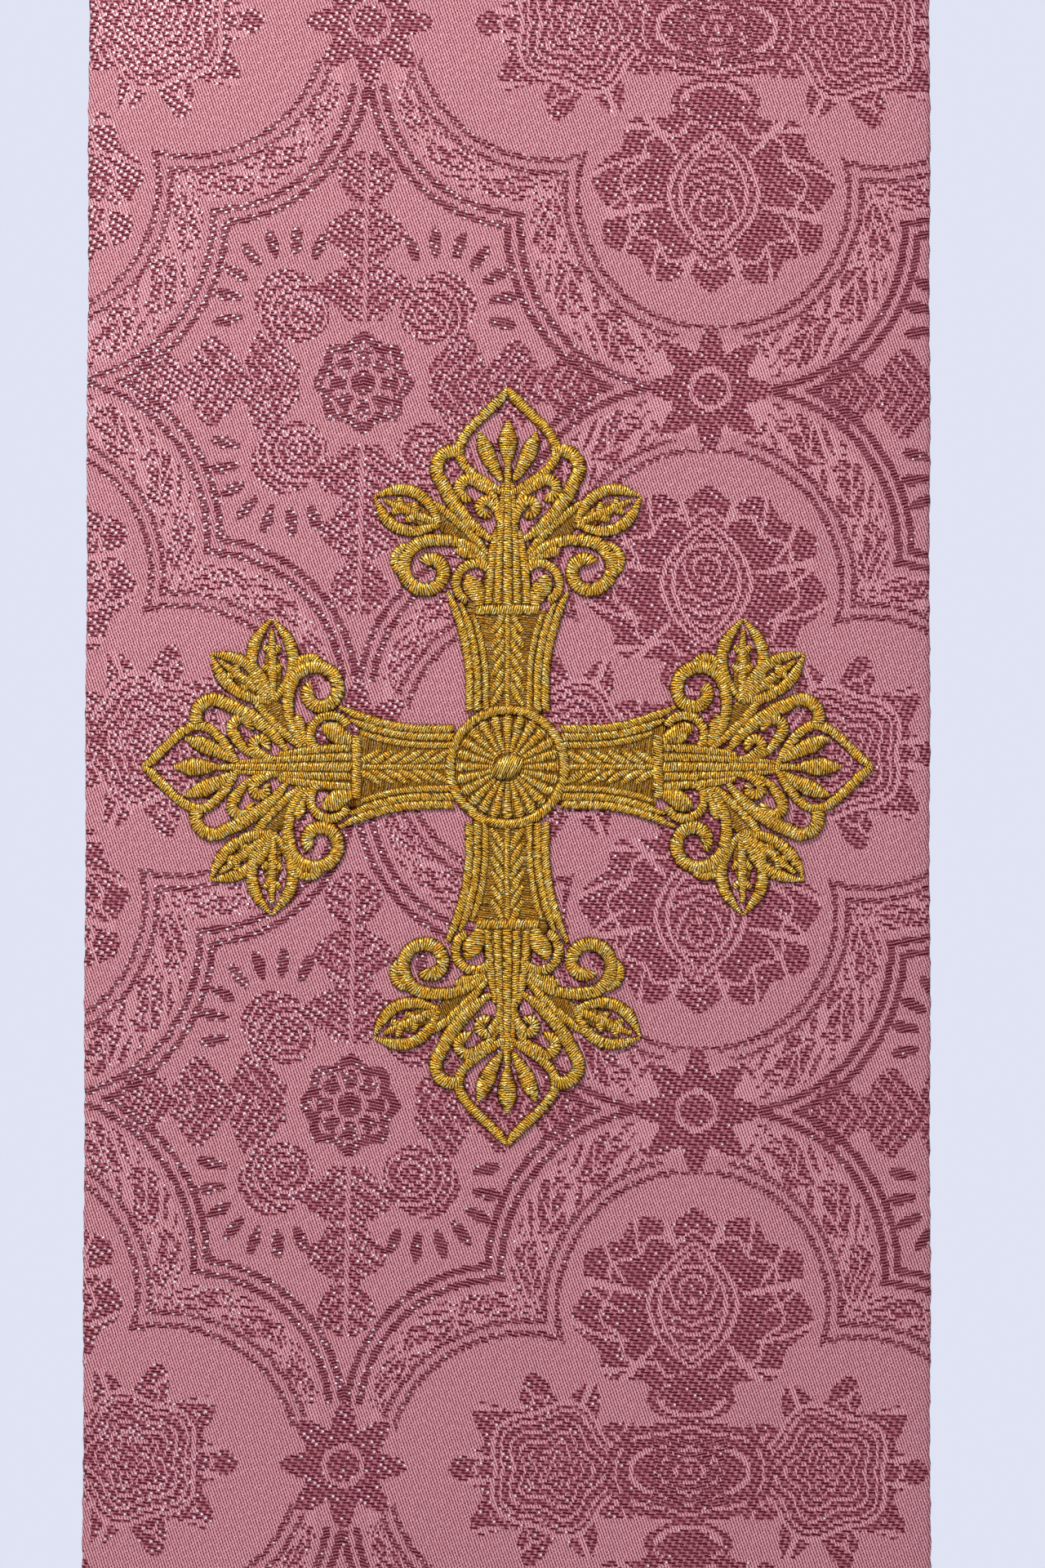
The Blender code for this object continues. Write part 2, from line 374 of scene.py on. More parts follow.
# The brocade in mm: a barbed quatrefoil is at 0,0, and a rose with sprays half a repeat away both ways
brocade = {
    "repeat": (110.0, 114.5),
    "turn": 1.0,                     # degrees off the straight grain
    "start": (31.1, 2.7),            # middle of a quatrefoil, from the middle of the cross
    "row": 0.5111,                   # dark weft rows, 224 to a repeat
    "step": 0.372,                   # how finely a row can start and stop
    "dash": 1.86,                    # one float and its binding
    "warp": 0.186,                   # warp threads of the ground, a five-end satin
    "pick": 0.2556,
    "ground": (0.765, 0.325, 0.370),
    "groundLow": (0.075, 0.005, 0.013),
    # painted sheen on the crests of the ground's threads
    "groundPaintedSheen": (0.93, 0.53, 0.585),
    "figure": (0.29, 0.058, 0.086),
    "fleck": (0.84, 0.42, 0.46),
    "float": (0.078, 0.002, 0.009),
    # painted glint colour of the metal thread
    "paintedGlintColour": (1.0, 0.92, 0.95),
    # the quatrefoil's two outlines are joined circles: middle across, middle up and radius
    "outerCircles": ((5.0, 31.9, 26.6), (30.5, 7.9, 23.2), (0.0, 0.0, 28.0)),
    "innerCircles": ((0.0, 26.1, 21.6), (26.5, 0.0, 21.5)),
    "betweenOutlines": 2.7,          # how far the scrolled leaves keep off both outlines
    "star": {"petals": 8.0, "wave": 1.9, "radius": 8.2, "ring": 3.0, "ringHalf": 0.45, "clear": 10.0},
    # the motifs' edges are waves round a middle; the sprays are leaves stacked one above another; all in mm
    "palmette": {"middle": 26.4, "reach": 13.2, "spread": 4.2, "lobe": 1.1, "lobes": 11.0},
    "rose": {"middle": 21.5, "reach": 14.4, "droop": 2.4, "lobe": 2.4, "lobes": 9.5},
    "knot": {"half": (13.6, 8.6), "lensMiddle": 11.6, "lensSize": (14.0, 7.6)},
    "heart": {"petals": 8.0, "wave": 0.55, "radius": 7.4, "core": 1.9},
    "bud": {"middle": (11.6, 12.0), "size": (12.8, 10.8), "turn": 35, "ring": 1.55},
    "spray": {"start": 9.6, "leaf": 9.1, "leaves": 3, "half": 7.4},
    "side": {"start": 10.2, "leaf": 8.9, "leaves": 3, "half": 8.4},
    # small leaves in a fan round each bud
    "fan": {
        "middle": (11.6, 12.0), "radius": 10.4, "size": (4.8, 1.9),
        "leaves": 7, "first": -12, "step": 21,       # degrees to the first leaf and between two
    },
}


def stackedLeaves(up, aside, leafStack):
    # 1 inside a row of leaves along one line, each widening towards its top, the last ones smaller
    top = leafStack["start"] + leafStack["leaf"] * leafStack["leaves"]
    share = ((up - leafStack["start"]) / leafStack["leaf"]).fract()
    core = leafStack["half"] * 0.36
    half = (share.sum("POWER", 1.4) * math.pi).sum("SINE").times(leafStack["half"] - core, core)
    half = half * up.between(top, leafStack["start"] + leafStack["leaf"]).times(0.45, 0.55)
    return (aside < half) * (up > leafStack["start"]) * (up < top)


def joinedCircles(x, y, circles):
    # below 0 inside any of the circles
    edge = None
    for middleX, middleY, radius in circles:
        one = lengthOf(x - middleX, y - middleY) - radius
        edge = one if edge is None else edge.least(one)
    return edge


def brocadeMaterial():
    material, tree, shader = newMaterial("roseBrocade", Roughness=0.5)
    b = brocade
    u, v = uvOf(tree, "cut")
    turn = math.radians(b["turn"])
    u, v = u.times(1000, -b["start"][0]), v.times(1000, -b["start"][1])
    x = (u * math.cos(turn)).times(1.0, v * -math.sin(turn))
    y = (u * math.sin(turn)).times(1.0, v * math.cos(turn))

    # weft rows and floats
    wander = cloud(pack(x, y), 0.9, 1.0) - 0.5
    rowPlace = (y / b["row"]).times(1.0, wander * 0.55)
    row = rowPlace.floor()
    rowShare = rowPlace.fract() - 0.5
    dashPlace = (x / b["dash"]).times(1.0, (row * 0.4).fract()) + dice(pack(row, 3.0)) * 0.16
    dashCell = dashPlace.floor()
    dashShare = dashPlace.fract() - 0.5
    luck = dice(pack(dashCell, row))
    luckToo = dice(pack(dashCell, row, 9.0))
    luckThree = dice(pack(dashCell, row, 17.0))
    rowMiddle = (row + 0.5) * b["row"]
    stepMiddle = (x / b["step"]).floor().times(b["step"], b["step"] / 2)

    # the quarter of the repeat, mirrored both ways
    halfWide, halfTall = b["repeat"][0] / 2, b["repeat"][1] / 2
    px = stepMiddle.sum("PINGPONG", halfWide)
    py = rowMiddle.sum("PINGPONG", halfTall)
    ax, ay = px.times(-1.0, halfWide), py.times(-1.0, halfTall)

    # quatrefoil outlines: below 0 inside
    outer = joinedCircles(px, py, b["outerCircles"])
    inner = joinedCircles(px, py, b["innerCircles"])
    betweenThem = (inner > b["betweenOutlines"]) * (outer < -b["betweenOutlines"])
    doubleLine = abs(abs(outer) - 1.05) < 0.58
    dotted = (abs(inner) < 0.50).most(abs(inner - 2.0) < 0.46) * (abs(dashShare) < 0.42)

    # star flowers where the quatrefoils meet
    starTop = lengthOf(px, ay)
    starSide = lengthOf(ax, py)
    cut = b["star"]
    topPetals = (px.sum("ARCTAN2", ay) * cut["petals"]).sum("COSINE").times(cut["wave"], cut["radius"])
    sidePetals = (py.sum("ARCTAN2", ax) * cut["petals"]).sum("COSINE").times(cut["wave"], cut["radius"])
    star = (starTop < topPetals).most(starSide < sidePetals)
    topRing = abs(starTop - cut["ring"]) < cut["ringHalf"]
    starRing = topRing.most(abs(starSide - cut["ring"]) < cut["ringHalf"])
    star = star * starRing.away()
    offStar = (starTop < cut["clear"]).most(starSide < cut["clear"]).away()

    # scrolled leaves between the outlines, parted by light lines
    share = (inner - 2.6) / ((inner - 2.6) - (outer + 3.0))
    topLobe = py > px
    sideSwing = py.sum("ARCTAN2", px - 28.0) * topLobe.away()
    swing = (px.sum("ARCTAN2", py - 27.0) * topLobe).times(1.0, sideSwing)
    leafPlace = (swing * 2.5).fract()
    leafMiddle = (leafPlace * 6.283).sum("SINE").times(0.18, 0.5)
    leafHalf = (leafPlace * 3.1416).sum("SINE").sum("POWER", 0.6).times(0.40, 0.04)
    offLeaf = abs(share - leafMiddle)
    veins = (leafPlace.times(3.0, offLeaf * 2.6)).fract() > 0.17
    edgeOfLeaf = abs(offLeaf - leafHalf) > 0.055
    beyond = (offLeaf > leafHalf) * ((swing * 7.5).times(1.0, share * 3.0).fract() < 0.52)
    scroll = (offLeaf > 0.035) * edgeOfLeaf * veins * beyond.away() * betweenThem * offStar

    # the palmette in the upright lobe
    leafy = b["palmette"]
    my = py - leafy["middle"]
    reachTo = lengthOf(px, my)
    palmAngle = px.sum("ARCTAN2", my)
    spread = leafy["spread"] / 2
    palmEdge = (palmAngle * 2.0).sum("COSINE").times(-spread, leafy["reach"] + spread)
    palmEdge = palmEdge + (palmAngle * leafy["lobes"]).sum("COSINE").times(leafy["lobe"], leafy["lobe"])
    bud = px.times(1.0, (my * my).times(0.070, -7.0))
    palmLines = (abs(bud) < 0.40).most(abs(bud + 1.7) < 0.36)
    palmSlits = (palmAngle.times(6.0, -0.3).sum("SINE") > 0.972) * (bud > 1.2)
    feather = (palmAngle.times(15.0, reachTo * 0.7).sum("SINE") > 0.93) * (bud > 2.2) * (reachTo > 11.5)
    feather = feather.most((abs(reachTo - palmEdge * 0.76) < 0.30) * (bud > 1.6))
    petalRings = (lengthOf(px, my - 2.6) / 1.75).times(1.0, (palmAngle * 5.0).sum("COSINE") * 0.12)
    petalRings = (petalRings.fract() < 0.27) * (bud < -2.4)
    palm = (reachTo < palmEdge) * palmLines.most(palmSlits).most(feather).most(petalRings).away()

    # the rose in the side lobe
    petalled = b["rose"]
    rx = px - petalled["middle"]
    roseReach = lengthOf(rx, py)
    roseAngle = py.sum("ARCTAN2", rx)
    roseEdge = (roseAngle * petalled["lobes"]).sum("COSINE") * petalled["lobe"]
    roseEdge = roseEdge + roseAngle.times(-petalled["droop"] / math.pi, petalled["reach"])
    petalWave = (roseAngle * 5.0).sum("COSINE")
    petals = petalWave.times(0.8, roseReach)
    roseLines = (abs(petals - 10.2) < 0.34).most((petals / 1.75).fract() < 0.27) * (petals < 10.6)
    roseSlits = (roseAngle.times(7.0, 0.4).sum("SINE") > 0.965) * (roseReach > 10.4)
    roseFeather = (roseAngle.times(14.0, roseReach * 0.7).sum("SINE") > 0.93) * (roseReach > 12.5)
    roseFeather = roseFeather.most((abs(roseReach - roseEdge * 0.76) < 0.30) * (petals > 11.4))
    rose = (roseReach < roseEdge) * roseLines.most(roseSlits).most(roseFeather).away()

    # the knot in the middle
    knotCut = b["knot"]
    knotReach = lengthOf(px / knotCut["half"][0], py / knotCut["half"][1])
    knotRings = (knotReach.times(5.0, (px * 0.45).sum("SINE") * 0.35)).fract() > 0.27
    knot = (knotReach < 1.0) * knotRings
    lens = oval(pack(px, py), 0, knotCut["lensMiddle"], *knotCut["lensSize"], 0)
    knot = knot.most((lens < 1.0) * (abs(lens - 0.72) > 0.09))

    # the rose and sprays outside the quatrefoils
    heartReach = lengthOf(ax, ay)
    heartAngle = ay.sum("ARCTAN2", ax)
    heartCut = b["heart"]
    heartEdge = (heartAngle * heartCut["petals"]).sum("COSINE").times(heartCut["wave"], heartCut["radius"])
    heart = (abs(heartEdge - heartReach - 0.8) < 0.90)
    heartPetals = (heartAngle * heartCut["petals"]).sum("COSINE") > -0.60
    heartPetals = (abs(heartReach - 4.1) < 1.30) * heartPetals
    heart = heart.most(heartPetals).most(heartReach < heartCut["core"])
    spray = stackedLeaves(ay, ax, b["spray"]) * (abs(ax) > 0.35)
    spray = spray * ((ay.times(1.0, ax * -0.7) / 2.3).fract() < 0.80)
    sidePalm = stackedLeaves(ax, ay, b["side"]) * ((ax.times(1.0, ay * -0.8) / 2.5).fract() < 0.80)
    spot = pack(ax, ay)
    budCut = b["bud"]
    budOval = oval(spot, *budCut["middle"], *budCut["size"], budCut["turn"])
    budRing = lengthOf((ax - 10.2) * 0.9, ay - 10.4) / budCut["ring"]
    netBud = (budOval < 1.0) * (budRing.times(1.0, (ax - ay) * 0.06).fract() > 0.25)
    fan = b["fan"]
    leaves = None
    for n in range(fan["leaves"]):
        angle = fan["first"] + fan["step"] * n
        leafX = fan["middle"][0] + fan["radius"] * math.cos(math.radians(angle))
        leafY = fan["middle"][1] + fan["radius"] * math.sin(math.radians(angle))
        one = oval(spot, leafX, leafY, *fan["size"], angle)
        leaves = one if leaves is None else leaves.least(one)
    leaves = leaves < 1.0

    bold = (doubleLine * offStar).most(dotted * offStar).most(heart).most(leaves)
    fine = star.most(scroll).most(palm).most(rose).most(knot).most(spray).most(sidePalm).most(netBud)
    fine = fine * bold.away()
    ink = fine.most(bold)
    # the light lines that part the petals; on the cloth they stand a little proud, here they only take a
    # paler colour
    figures = (reachTo < palmEdge).most(roseReach < roseEdge).most(knotReach < 1.0)
    figures = figures.most(lens < 1.0).most(budOval < 1.0)
    parting = figures.most(betweenThem) * ink.away()

    # floats as they lie on the cloth
    lean = rowShare.times(1.0, dashShare * 0.45)
    dashHalf = luck.times(0.16, 0.31)
    fineFloat = abs(lean).between(0.41, 0.19) * ((dashHalf - abs(dashShare)).between(-0.02, 0.07))
    rung = rowPlace.times(1.0, x.sum("PINGPONG", halfWide) * -0.42)
    boldFloat = abs(rung.fract() - 0.5).between(0.39, 0.22) * luckThree.times(0.30, 0.80)
    floats = (fine * fineFloat).most(bold * boldFloat)
    floats = floats * luckToo.times(0.28, 0.78)
    # light flecks where a warp thread binds them
    fleckAlong = abs((dashPlace * 2.0 + 0.5).fract() - 0.5).between(0.27, 0.12)
    fleckUp = abs((rowPlace + 0.5).fract() - 0.5).between(0.36, 0.20)
    fleck = fine * fleckAlong * fleckUp * luckToo.between(-0.15, 0.85)
    # painted glints: the metal thread between the floats is painted as white highlights, more and longer
    # towards the outer edge, where the cloth turns to the light, and fewer towards the hem
    outerEdge = u.between(12.0, -84.0)
    # painted light falloff: the painted sheen and the light flecks fade towards the hem
    paintedFalloff = v.between(-150.0, 20.0).times(0.40, 0.60)
    shine = luckThree < outerEdge.times(0.80, 0.03) * v.between(-130.0, 60.0).times(0.60, 0.40)
    glintPlace = abs((dashPlace + 0.42).fract() - 0.5)
    paintedGlint = (outerEdge.times(0.05, 0.10) - glintPlace).between(0.0, 0.05)
    paintedGlint = paintedGlint * abs(lean + 0.08).between(0.32, 0.16) * shine * ink

    # satin ground: the dark slits where the warp dips under, in columns that lean to the left going up
    warp, pick = b["warp"], b["pick"]
    period = math.hypot(warp, 2 * pick)
    downX, downY = warp / period, -2 * pick / period
    column = 5 * warp * pick / period
    gx = x.times(-downY / column, y * (downX / column)) + wander * 0.4
    groundColumn = gx.floor()
    groundShare = gx.fract() - 0.5
    phase = (3 * warp * downX + pick * -downY) / period
    slitPlace = (x * (downX / period)).times(1.0, y * (downY / period)) - groundColumn * phase
    slitShare = (slitPlace + dice(pack(groundColumn, 5.0)) * 0.12).fract() - 0.5
    slit = abs(groundShare).between(0.31, 0.10) * abs(slitShare).between(0.52, 0.36)
    ground = slit.away()
    patches = cloud(pack(u, v), 0.045, 3.0)
    threads = cloud(pack(gx, slitPlace * 1.3), 1.0, 1.0)
    # painted sheen: paler crests on the ground's threads, fading towards the hem
    light = threads.between(0.50, 0.68) * ground * paintedFalloff * 0.62
    ground = ground * threads.between(0.18, 0.62).times(0.34, 0.60) * patches.times(0.16, 0.92)

    base = colourMix(ground, b["groundLow"], b["ground"])
    base = colourMix(light, base, b["groundPaintedSheen"])
    base = colourMix(fine.times(0.82, bold * 0.60), base, b["figure"])
    fleckLight = fleck * threads.between(0.3, 0.6).times(0.6, 0.35)
    # the light flecks and parting lines in their own pale colour, faded towards the hem by the painted light
    # falloff
    base = colourMix(fleckLight.most(parting * ground * 0.55) * paintedFalloff, base, b["fleck"])
    base = colourMix(floats, base, b["float"])
    base = colourMix(paintedGlint, base, b["paintedGlintColour"])
    feed(tree, base, shader, "Base Color")
    feed(tree, floats.times(0.45, paintedGlint * 0.4), shader, "Metallic")
    feed(tree, ground.times(-0.06, 0.52) - paintedGlint * 0.22, shader, "Roughness")
    # the relief leaves the figures out, which keeps it quick
    height = ground.times(0.5, abs(lean).between(0.1, 0.5) * 0.25)
    feed(tree, bump(height, 0.55, 0.20 * mm), shader, "Normal")
    shader.inputs["Specular IOR Level"].default_value = 0.12
    shader.inputs["Sheen Weight"].default_value = 0.04
    shader.inputs["Sheen Roughness"].default_value = 0.4
    return material


# the plain satin on the body side, in mm, caught down along its edges with small slip stitches
backSatin = {
    "rib": 0.55,
    "stitchIn": 2.6,             # how far the stitches lie from the edge
    "stitchStep": 4.2,
    "dark": (0.27, 0.070, 0.100),
    "light": (0.52, 0.20, 0.245),
    "stitch": (0.60, 0.27, 0.31),
}


def backClothMaterial():
    material, tree, shader = newMaterial("backCloth", Roughness=0.42)
    u, v = uvOf(tree, "cut")
    u, v = u * 1000, v * 1000
    edge, down = uvOf(tree, "edge")
    rib = ((u.times(0.5, v * 1.2)) / backSatin["rib"]).fract() - 0.5
    lines = abs(rib).between(0.5, 0.15)
    streaks = cloud(pack(u * 1.1, v * 0.05), 1.0, 3.0)
    patches = cloud(pack(u, v), 0.045, 4.0)
    fromStitch = abs((down / backSatin["stitchStep"]).fract() - 0.5)
    fromLine = abs(edge - backSatin["stitchIn"])
    stitchDentAndShade = fromStitch.between(0.5, 0.0) * fromLine.between(3.2, 0.4)
    stitch = (fromLine < 0.24) * (fromStitch < 0.16)
    # tone of the satin from its ribs, streaks and patches, with painted shade in the dents round the slip
    # stitches
    shade = lines * 0.5 + streaks * 0.55 + patches * 0.5 - stitchDentAndShade * 0.35 - 0.30
    base = colourMix(shade.between(0.0, 1.0), backSatin["dark"], backSatin["light"])
    base = colourMix(stitch, base, backSatin["stitch"])
    feed(tree, base, shader, "Base Color")
    height = lines.times(0.4, streaks * 0.5) - stitchDentAndShade * 1.6 + stitch * 0.8
    feed(tree, bump(height, 0.5, 0.20 * mm), shader, "Normal")
    shader.inputs["Sheen Weight"].default_value = 0.10
    return material


goldColours = {
    "threads": ((1.0, 0.680, 0.100), (0.96, 0.480, 0.045)),
    # painted highlight colour of the gold threads
    "paintedGlint": (1.0, 0.87, 0.38),
    # painted shade in the grooves between the threads
    "paintedGrooveShades": ((0.040, 0.006, 0.0002), (0.16, 0.028, 0.001)),
    # painted shade colour
    "shade": (0.085, 0.011, 0.0002),
}


def goldThreadMaterial():
    # u counts threads along a stroke, v runs across it in mm
    material, tree, shader = newMaterial("goldThread", Roughness=0.36, Metallic=0.35)
    u, v = uvOf(tree, "threads")
    wander = cloud(pack(u * 0.9, v * 1.9), 1.0, 1.0) - 0.5
    u = u.times(1.0, wander * 1.1)
    thread = u.floor()
    crest = abs(u.fract() - 0.5).between(0.415, 0.10)
    piece = (v * 1.6).times(1.0, dice(pack(thread, 2.0)) * 5.0)
    luck = dice(pack(thread, piece.floor(), 4.0))
    pieceEnd = abs(piece.fract() - 0.5).between(0.50, 0.22)
    base = colourMix(luck.between(0.1, 0.95), *goldColours["threads"])
    # painted highlights: bright pieces along some threads, where the light would glint
    base = colourMix((luck < 0.30) * pieceEnd * 0.80, base, goldColours["paintedGlint"])
    # painted shade in the grooves between the threads; only the crests keep the thread colour
    paintedGrooveShade = colourMix(dice(pack(thread, 7.0)) > 0.7, *goldColours["paintedGrooveShades"])
    base = colourMix(crest, paintedGrooveShade, base)
    across, low = uvOf(tree, "across")
    # painted shade: darker at the strokes' edges and over the flat stitching that lies under the strokes
    shade = (abs(across).between(0.64, 0.98) * 0.82).most(low * 0.60)
    base = colourMix(shade, base, goldColours["shade"])
    feed(tree, base, shader, "Base Color")
    feed(tree, bump(crest, 0.7, 0.12 * mm), shader, "Normal")
    feed(tree, luck.times(0.16, 0.26), shader, "Roughness")
    shader.inputs["Specular IOR Level"].default_value = 0.06
    return material


# pieces
def smoothPiece(name, bm, materials):
    mesh = bpy.data.meshes.new(name)
    bm.to_mesh(mesh)
    bm.free()
    for material in materials:
        mesh.materials.append(material)
    for polygon in mesh.polygons:
        polygon.use_smooth = True
    piece = bpy.data.objects.new(name, mesh)
    bpy.context.scene.collection.objects.link(piece)
    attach(piece, "root")
    return piece


def bandProfile(along):
    # away from the middle and lift of each point round one section, closed, for each row
    width = columnAt(np.clip(along, 0, bandLength), "width")
    wall, turned = bandCut["wall"], bandCut["edgeRound"]
    waver = np.sin(along / (0.53 * mm)) * 0.6 + np.sin(along / (0.91 * mm) + 1.0) * 0.6
    waver = waver + np.sin(along / (7.3 * mm)) * 0.7
    half = width / 2 - bandCut["edgeWave"] * waver
    angles = np.radians([60, 30, 0, -30, -60])
    front = np.linspace(-1, 1, bandCut["frontPoints"])
    back = np.linspace(1, -1, bandCut["backPoints"])
    points = [(share * (half - turned), wall, False) for share in front]
    for angle in angles:
        high = wall / 2 * (1 + math.sin(angle))
        points.append((half - turned + turned * math.cos(angle), high, angle < 0))
    points += [(share * (half - turned), 0.0, True) for share in back]
    for angle in -angles:
        high = wall / 2 * (1 + math.sin(angle))
        points.append((-half + turned - turned * math.cos(angle), high, angle < 0))
    points.append(points[0])
    away, lift, isBack = zip(*points)
    return np.stack(away), np.array(lift), isBack


def makeBand(name, side, node, brocadeCloth, backCloth):
    rows = np.linspace(0, bandLength, round(bandLength / bandCut["rowStep"]) + 1)
    away, lift, isBack = bandProfile(rows)
    points = bandPoints(side, rows[None, :], away, lift[:, None])
    flat = flatPoints(side, rows[None, :] + 0 * away, away)
    fromEdge = (np.abs(away).max(axis=0) - np.abs(away)) / mm
    around, down = away.shape
    bm = bmesh.new()
    bmesh.ops.create_grid(bm, x_segments=around - 1, y_segments=down - 1, size=0.5)
    uvLayer = bm.loops.layers.uv.new("cut")
    edgeLayer = bm.loops.layers.uv.new("edge")
    place = {}
    for vertex in bm.verts:
        i = round((vertex.co.x + 0.5) * (around - 1))
        j = round((vertex.co.y + 0.5) * (down - 1))
        place[vertex.index] = (i, j)
        vertex.co = points[i, j]
    for face in bm.faces:
        spots = [place[loop.vert.index] for loop in face.loops]
        for loop, (i, j) in zip(face.loops, spots):
            loop[uvLayer].uv = flat[i, j]
            loop[edgeLayer].uv = (fromEdge[i, j], rows[j] / mm)
        face.material_index = int(all(isBack[i] for i, j in spots))
    bmesh.ops.remove_doubles(bm, verts=bm.verts, dist=1e-6)
    bmesh.ops.holes_fill(bm, edges=[edge for edge in bm.edges if edge.is_boundary], sides=0)
    bmesh.ops.recalc_face_normals(bm, faces=bm.faces)
    band = smoothPiece(name, bm, [brocadeCloth, backCloth])
    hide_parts(node)
    return band


# The cross in mm: r runs out along an arm from the cross's middle, q to the side
crossWork = {
    "pitch": 0.37,               # one thread
    "base": 0.05,
    "low": 0.72,                 # flat satin: the strokes' heights below are those of a padded one
    "loose": 0.20,               # how far a thread may turn from its stroke's slant, in radians
    "ground": 0.42,              # height of the flat stitching under the strokes
    "cap": 24.9,                 # the bar at the end of a shaft
    "shaftStart": 8.8,
    "shaftHalf": 6.0,
    "flareFrom": 13.0,           # from here to the bar the shaft widens by the flare on each side
    "flare": 2.3,
    # lines of the shaft: how far in from its edge, half width, height, how far past the bar
    "shaftLines": ((0.0, 0.72, 1.25, 3.0), (1.25, 0.66, 1.05, 1.2), (2.55, 0.53, 1.0, -0.7)),
    "chevrons": 6,
    "chevronFrom": 11.6,
    "chevronStep": 2.3,
    "rimRadius": 9.05,
    "rimHalf": 0.88,
    "rimHeight": 1.75,
    "rimPoints": 49,
    "petals": 24,
    "petalPoints": ((2.0, 0.20), (4.0, 0.38), (6.2, 0.64), (7.6, 0.76), (8.4, 0.3)),
    "buttonRadius": 2.4,
    # places and half widths of the flat stitching under the wheel
    "underWheel": ((-8.9, 0.2), (-7.5, 4.8), (-4, 7.9), (0, 8.9), (4, 7.9), (7.5, 4.8), (8.9, 0.2)),
}

# The flowers of the upright and the level arms, worked out from a few main sizes
uprightFlower = {
    "reach": 60.0, "stretch": 1.0, "archLong": 17.0, "archHalf": 7.7,
    "lobe": (47.4, 8.4), "curl": (31.2, 12.6), "leafBase": (38.4, 10.8),
    "leaves": (((42.9, 21.2), 3.1),),          # tip of each side leaf, and how far its sides bow out
}
levelFlower = {
    "reach": 58.2, "stretch": 0.96, "archLong": 15.6, "archHalf": 6.6,
    "lobe": (46.8, 7.8), "curl": (30.0, 12.0), "leafBase": (37.2, 10.4),
    "leaves": (((37.4, 23.6), 3.3), ((47.2, 18.0), 2.2)),
}


def curlPoints(middle, radii, angles, half, steps=9):
    # round a middle, its radius and angle changing evenly; degrees from the arm's own line
    radius = np.linspace(*radii, steps)
    angle = np.radians(np.linspace(*angles, steps))
    return [(middle[0] + a * math.cos(b), middle[1] + a * math.sin(b), half) for a, b in zip(radius, angle)]


def bowPoints(first, last, bow, halves):
    # from first to last, bowed aside at the middle, its half widths evenly along it
    first, last = np.array(first, float), np.array(last, float)
    way = last - first
    aside = np.array((-way[1], way[0])) / np.linalg.norm(way)
    shares = np.linspace(0, 1, len(halves))
    return [(*(first + way * t + aside * bow * 4 * t * (1 - t)), half) for t, half in zip(shares, halves)]


# Each stroke is its height, the slant of its threads in degrees and its points.
# A point is how far out along the arm it lies, how far aside, and the half width there.
def shaftStrokes(stretch):
    # the strokes on one side of a shaft
    work = crossWork
    strokes = []
    for inside, half, height, past in work["shaftLines"]:
        ends = work["cap"] + past
        rows = []
        for r in np.linspace(work["shaftStart"], ends, 7):
            opened = max(0.0, r - work["flareFrom"]) / (work["cap"] - work["flareFrom"])
            rows.append((r * stretch, work["shaftHalf"] - inside + work["flare"] * opened ** 2, half))
        rows[-1] = (*rows[-1][:2], 0.25)
        strokes.append((height, 25, rows))
    for n in range(work["chevrons"]):
        r = work["chevronFrom"] + n * work["chevronStep"]
        rows = bowPoints(((r + 1.8) * stretch, 0.5), ((r - 2.0) * stretch, 2.6), 0.15, (0.22, 0.60, 0.25))
        strokes.append((1.55, -10, rows))
    return strokes


def middleStrokes(flower):
    # the strokes on an arm's own line
    cap, reach = crossWork["cap"] * flower["stretch"], flower["reach"]
    low = crossWork["ground"]
    return [
        (low, 8, [(8.6, 0, 5.6), (cap * 0.7, 0, 5.8), (cap - 1, 0, 7.0), (cap + 0.7, 0, 6.4)]),
        (low, 8, bowPoints((cap + 0.3, 0), (reach - 13, 0), 0, (4.6, 3.9, 3.3, 1.8, 1.0, 0.5))),
        (0.95, 20, bowPoints((9.4, 0), (cap - 0.6, 0), 0, (0.42, 0.42))),
        (1.05, 10, bowPoints((cap + 0.5, 0), (reach - 11.4, 0), 0, (0.75, 0.72, 0.6, 0.45))),
        (1.35, 0, bowPoints((reach - 12.4, 0), (reach - 5.0, 0), 0, (0.35, 0.9, 1.4, 1.5, 0.9, 0.15))),
        (1.1, 15, [(cap, -4.9, 0.3), (cap, -4.2, 0.78), (cap, 4.2, 0.78), (cap, 4.9, 0.3)]),
    ]


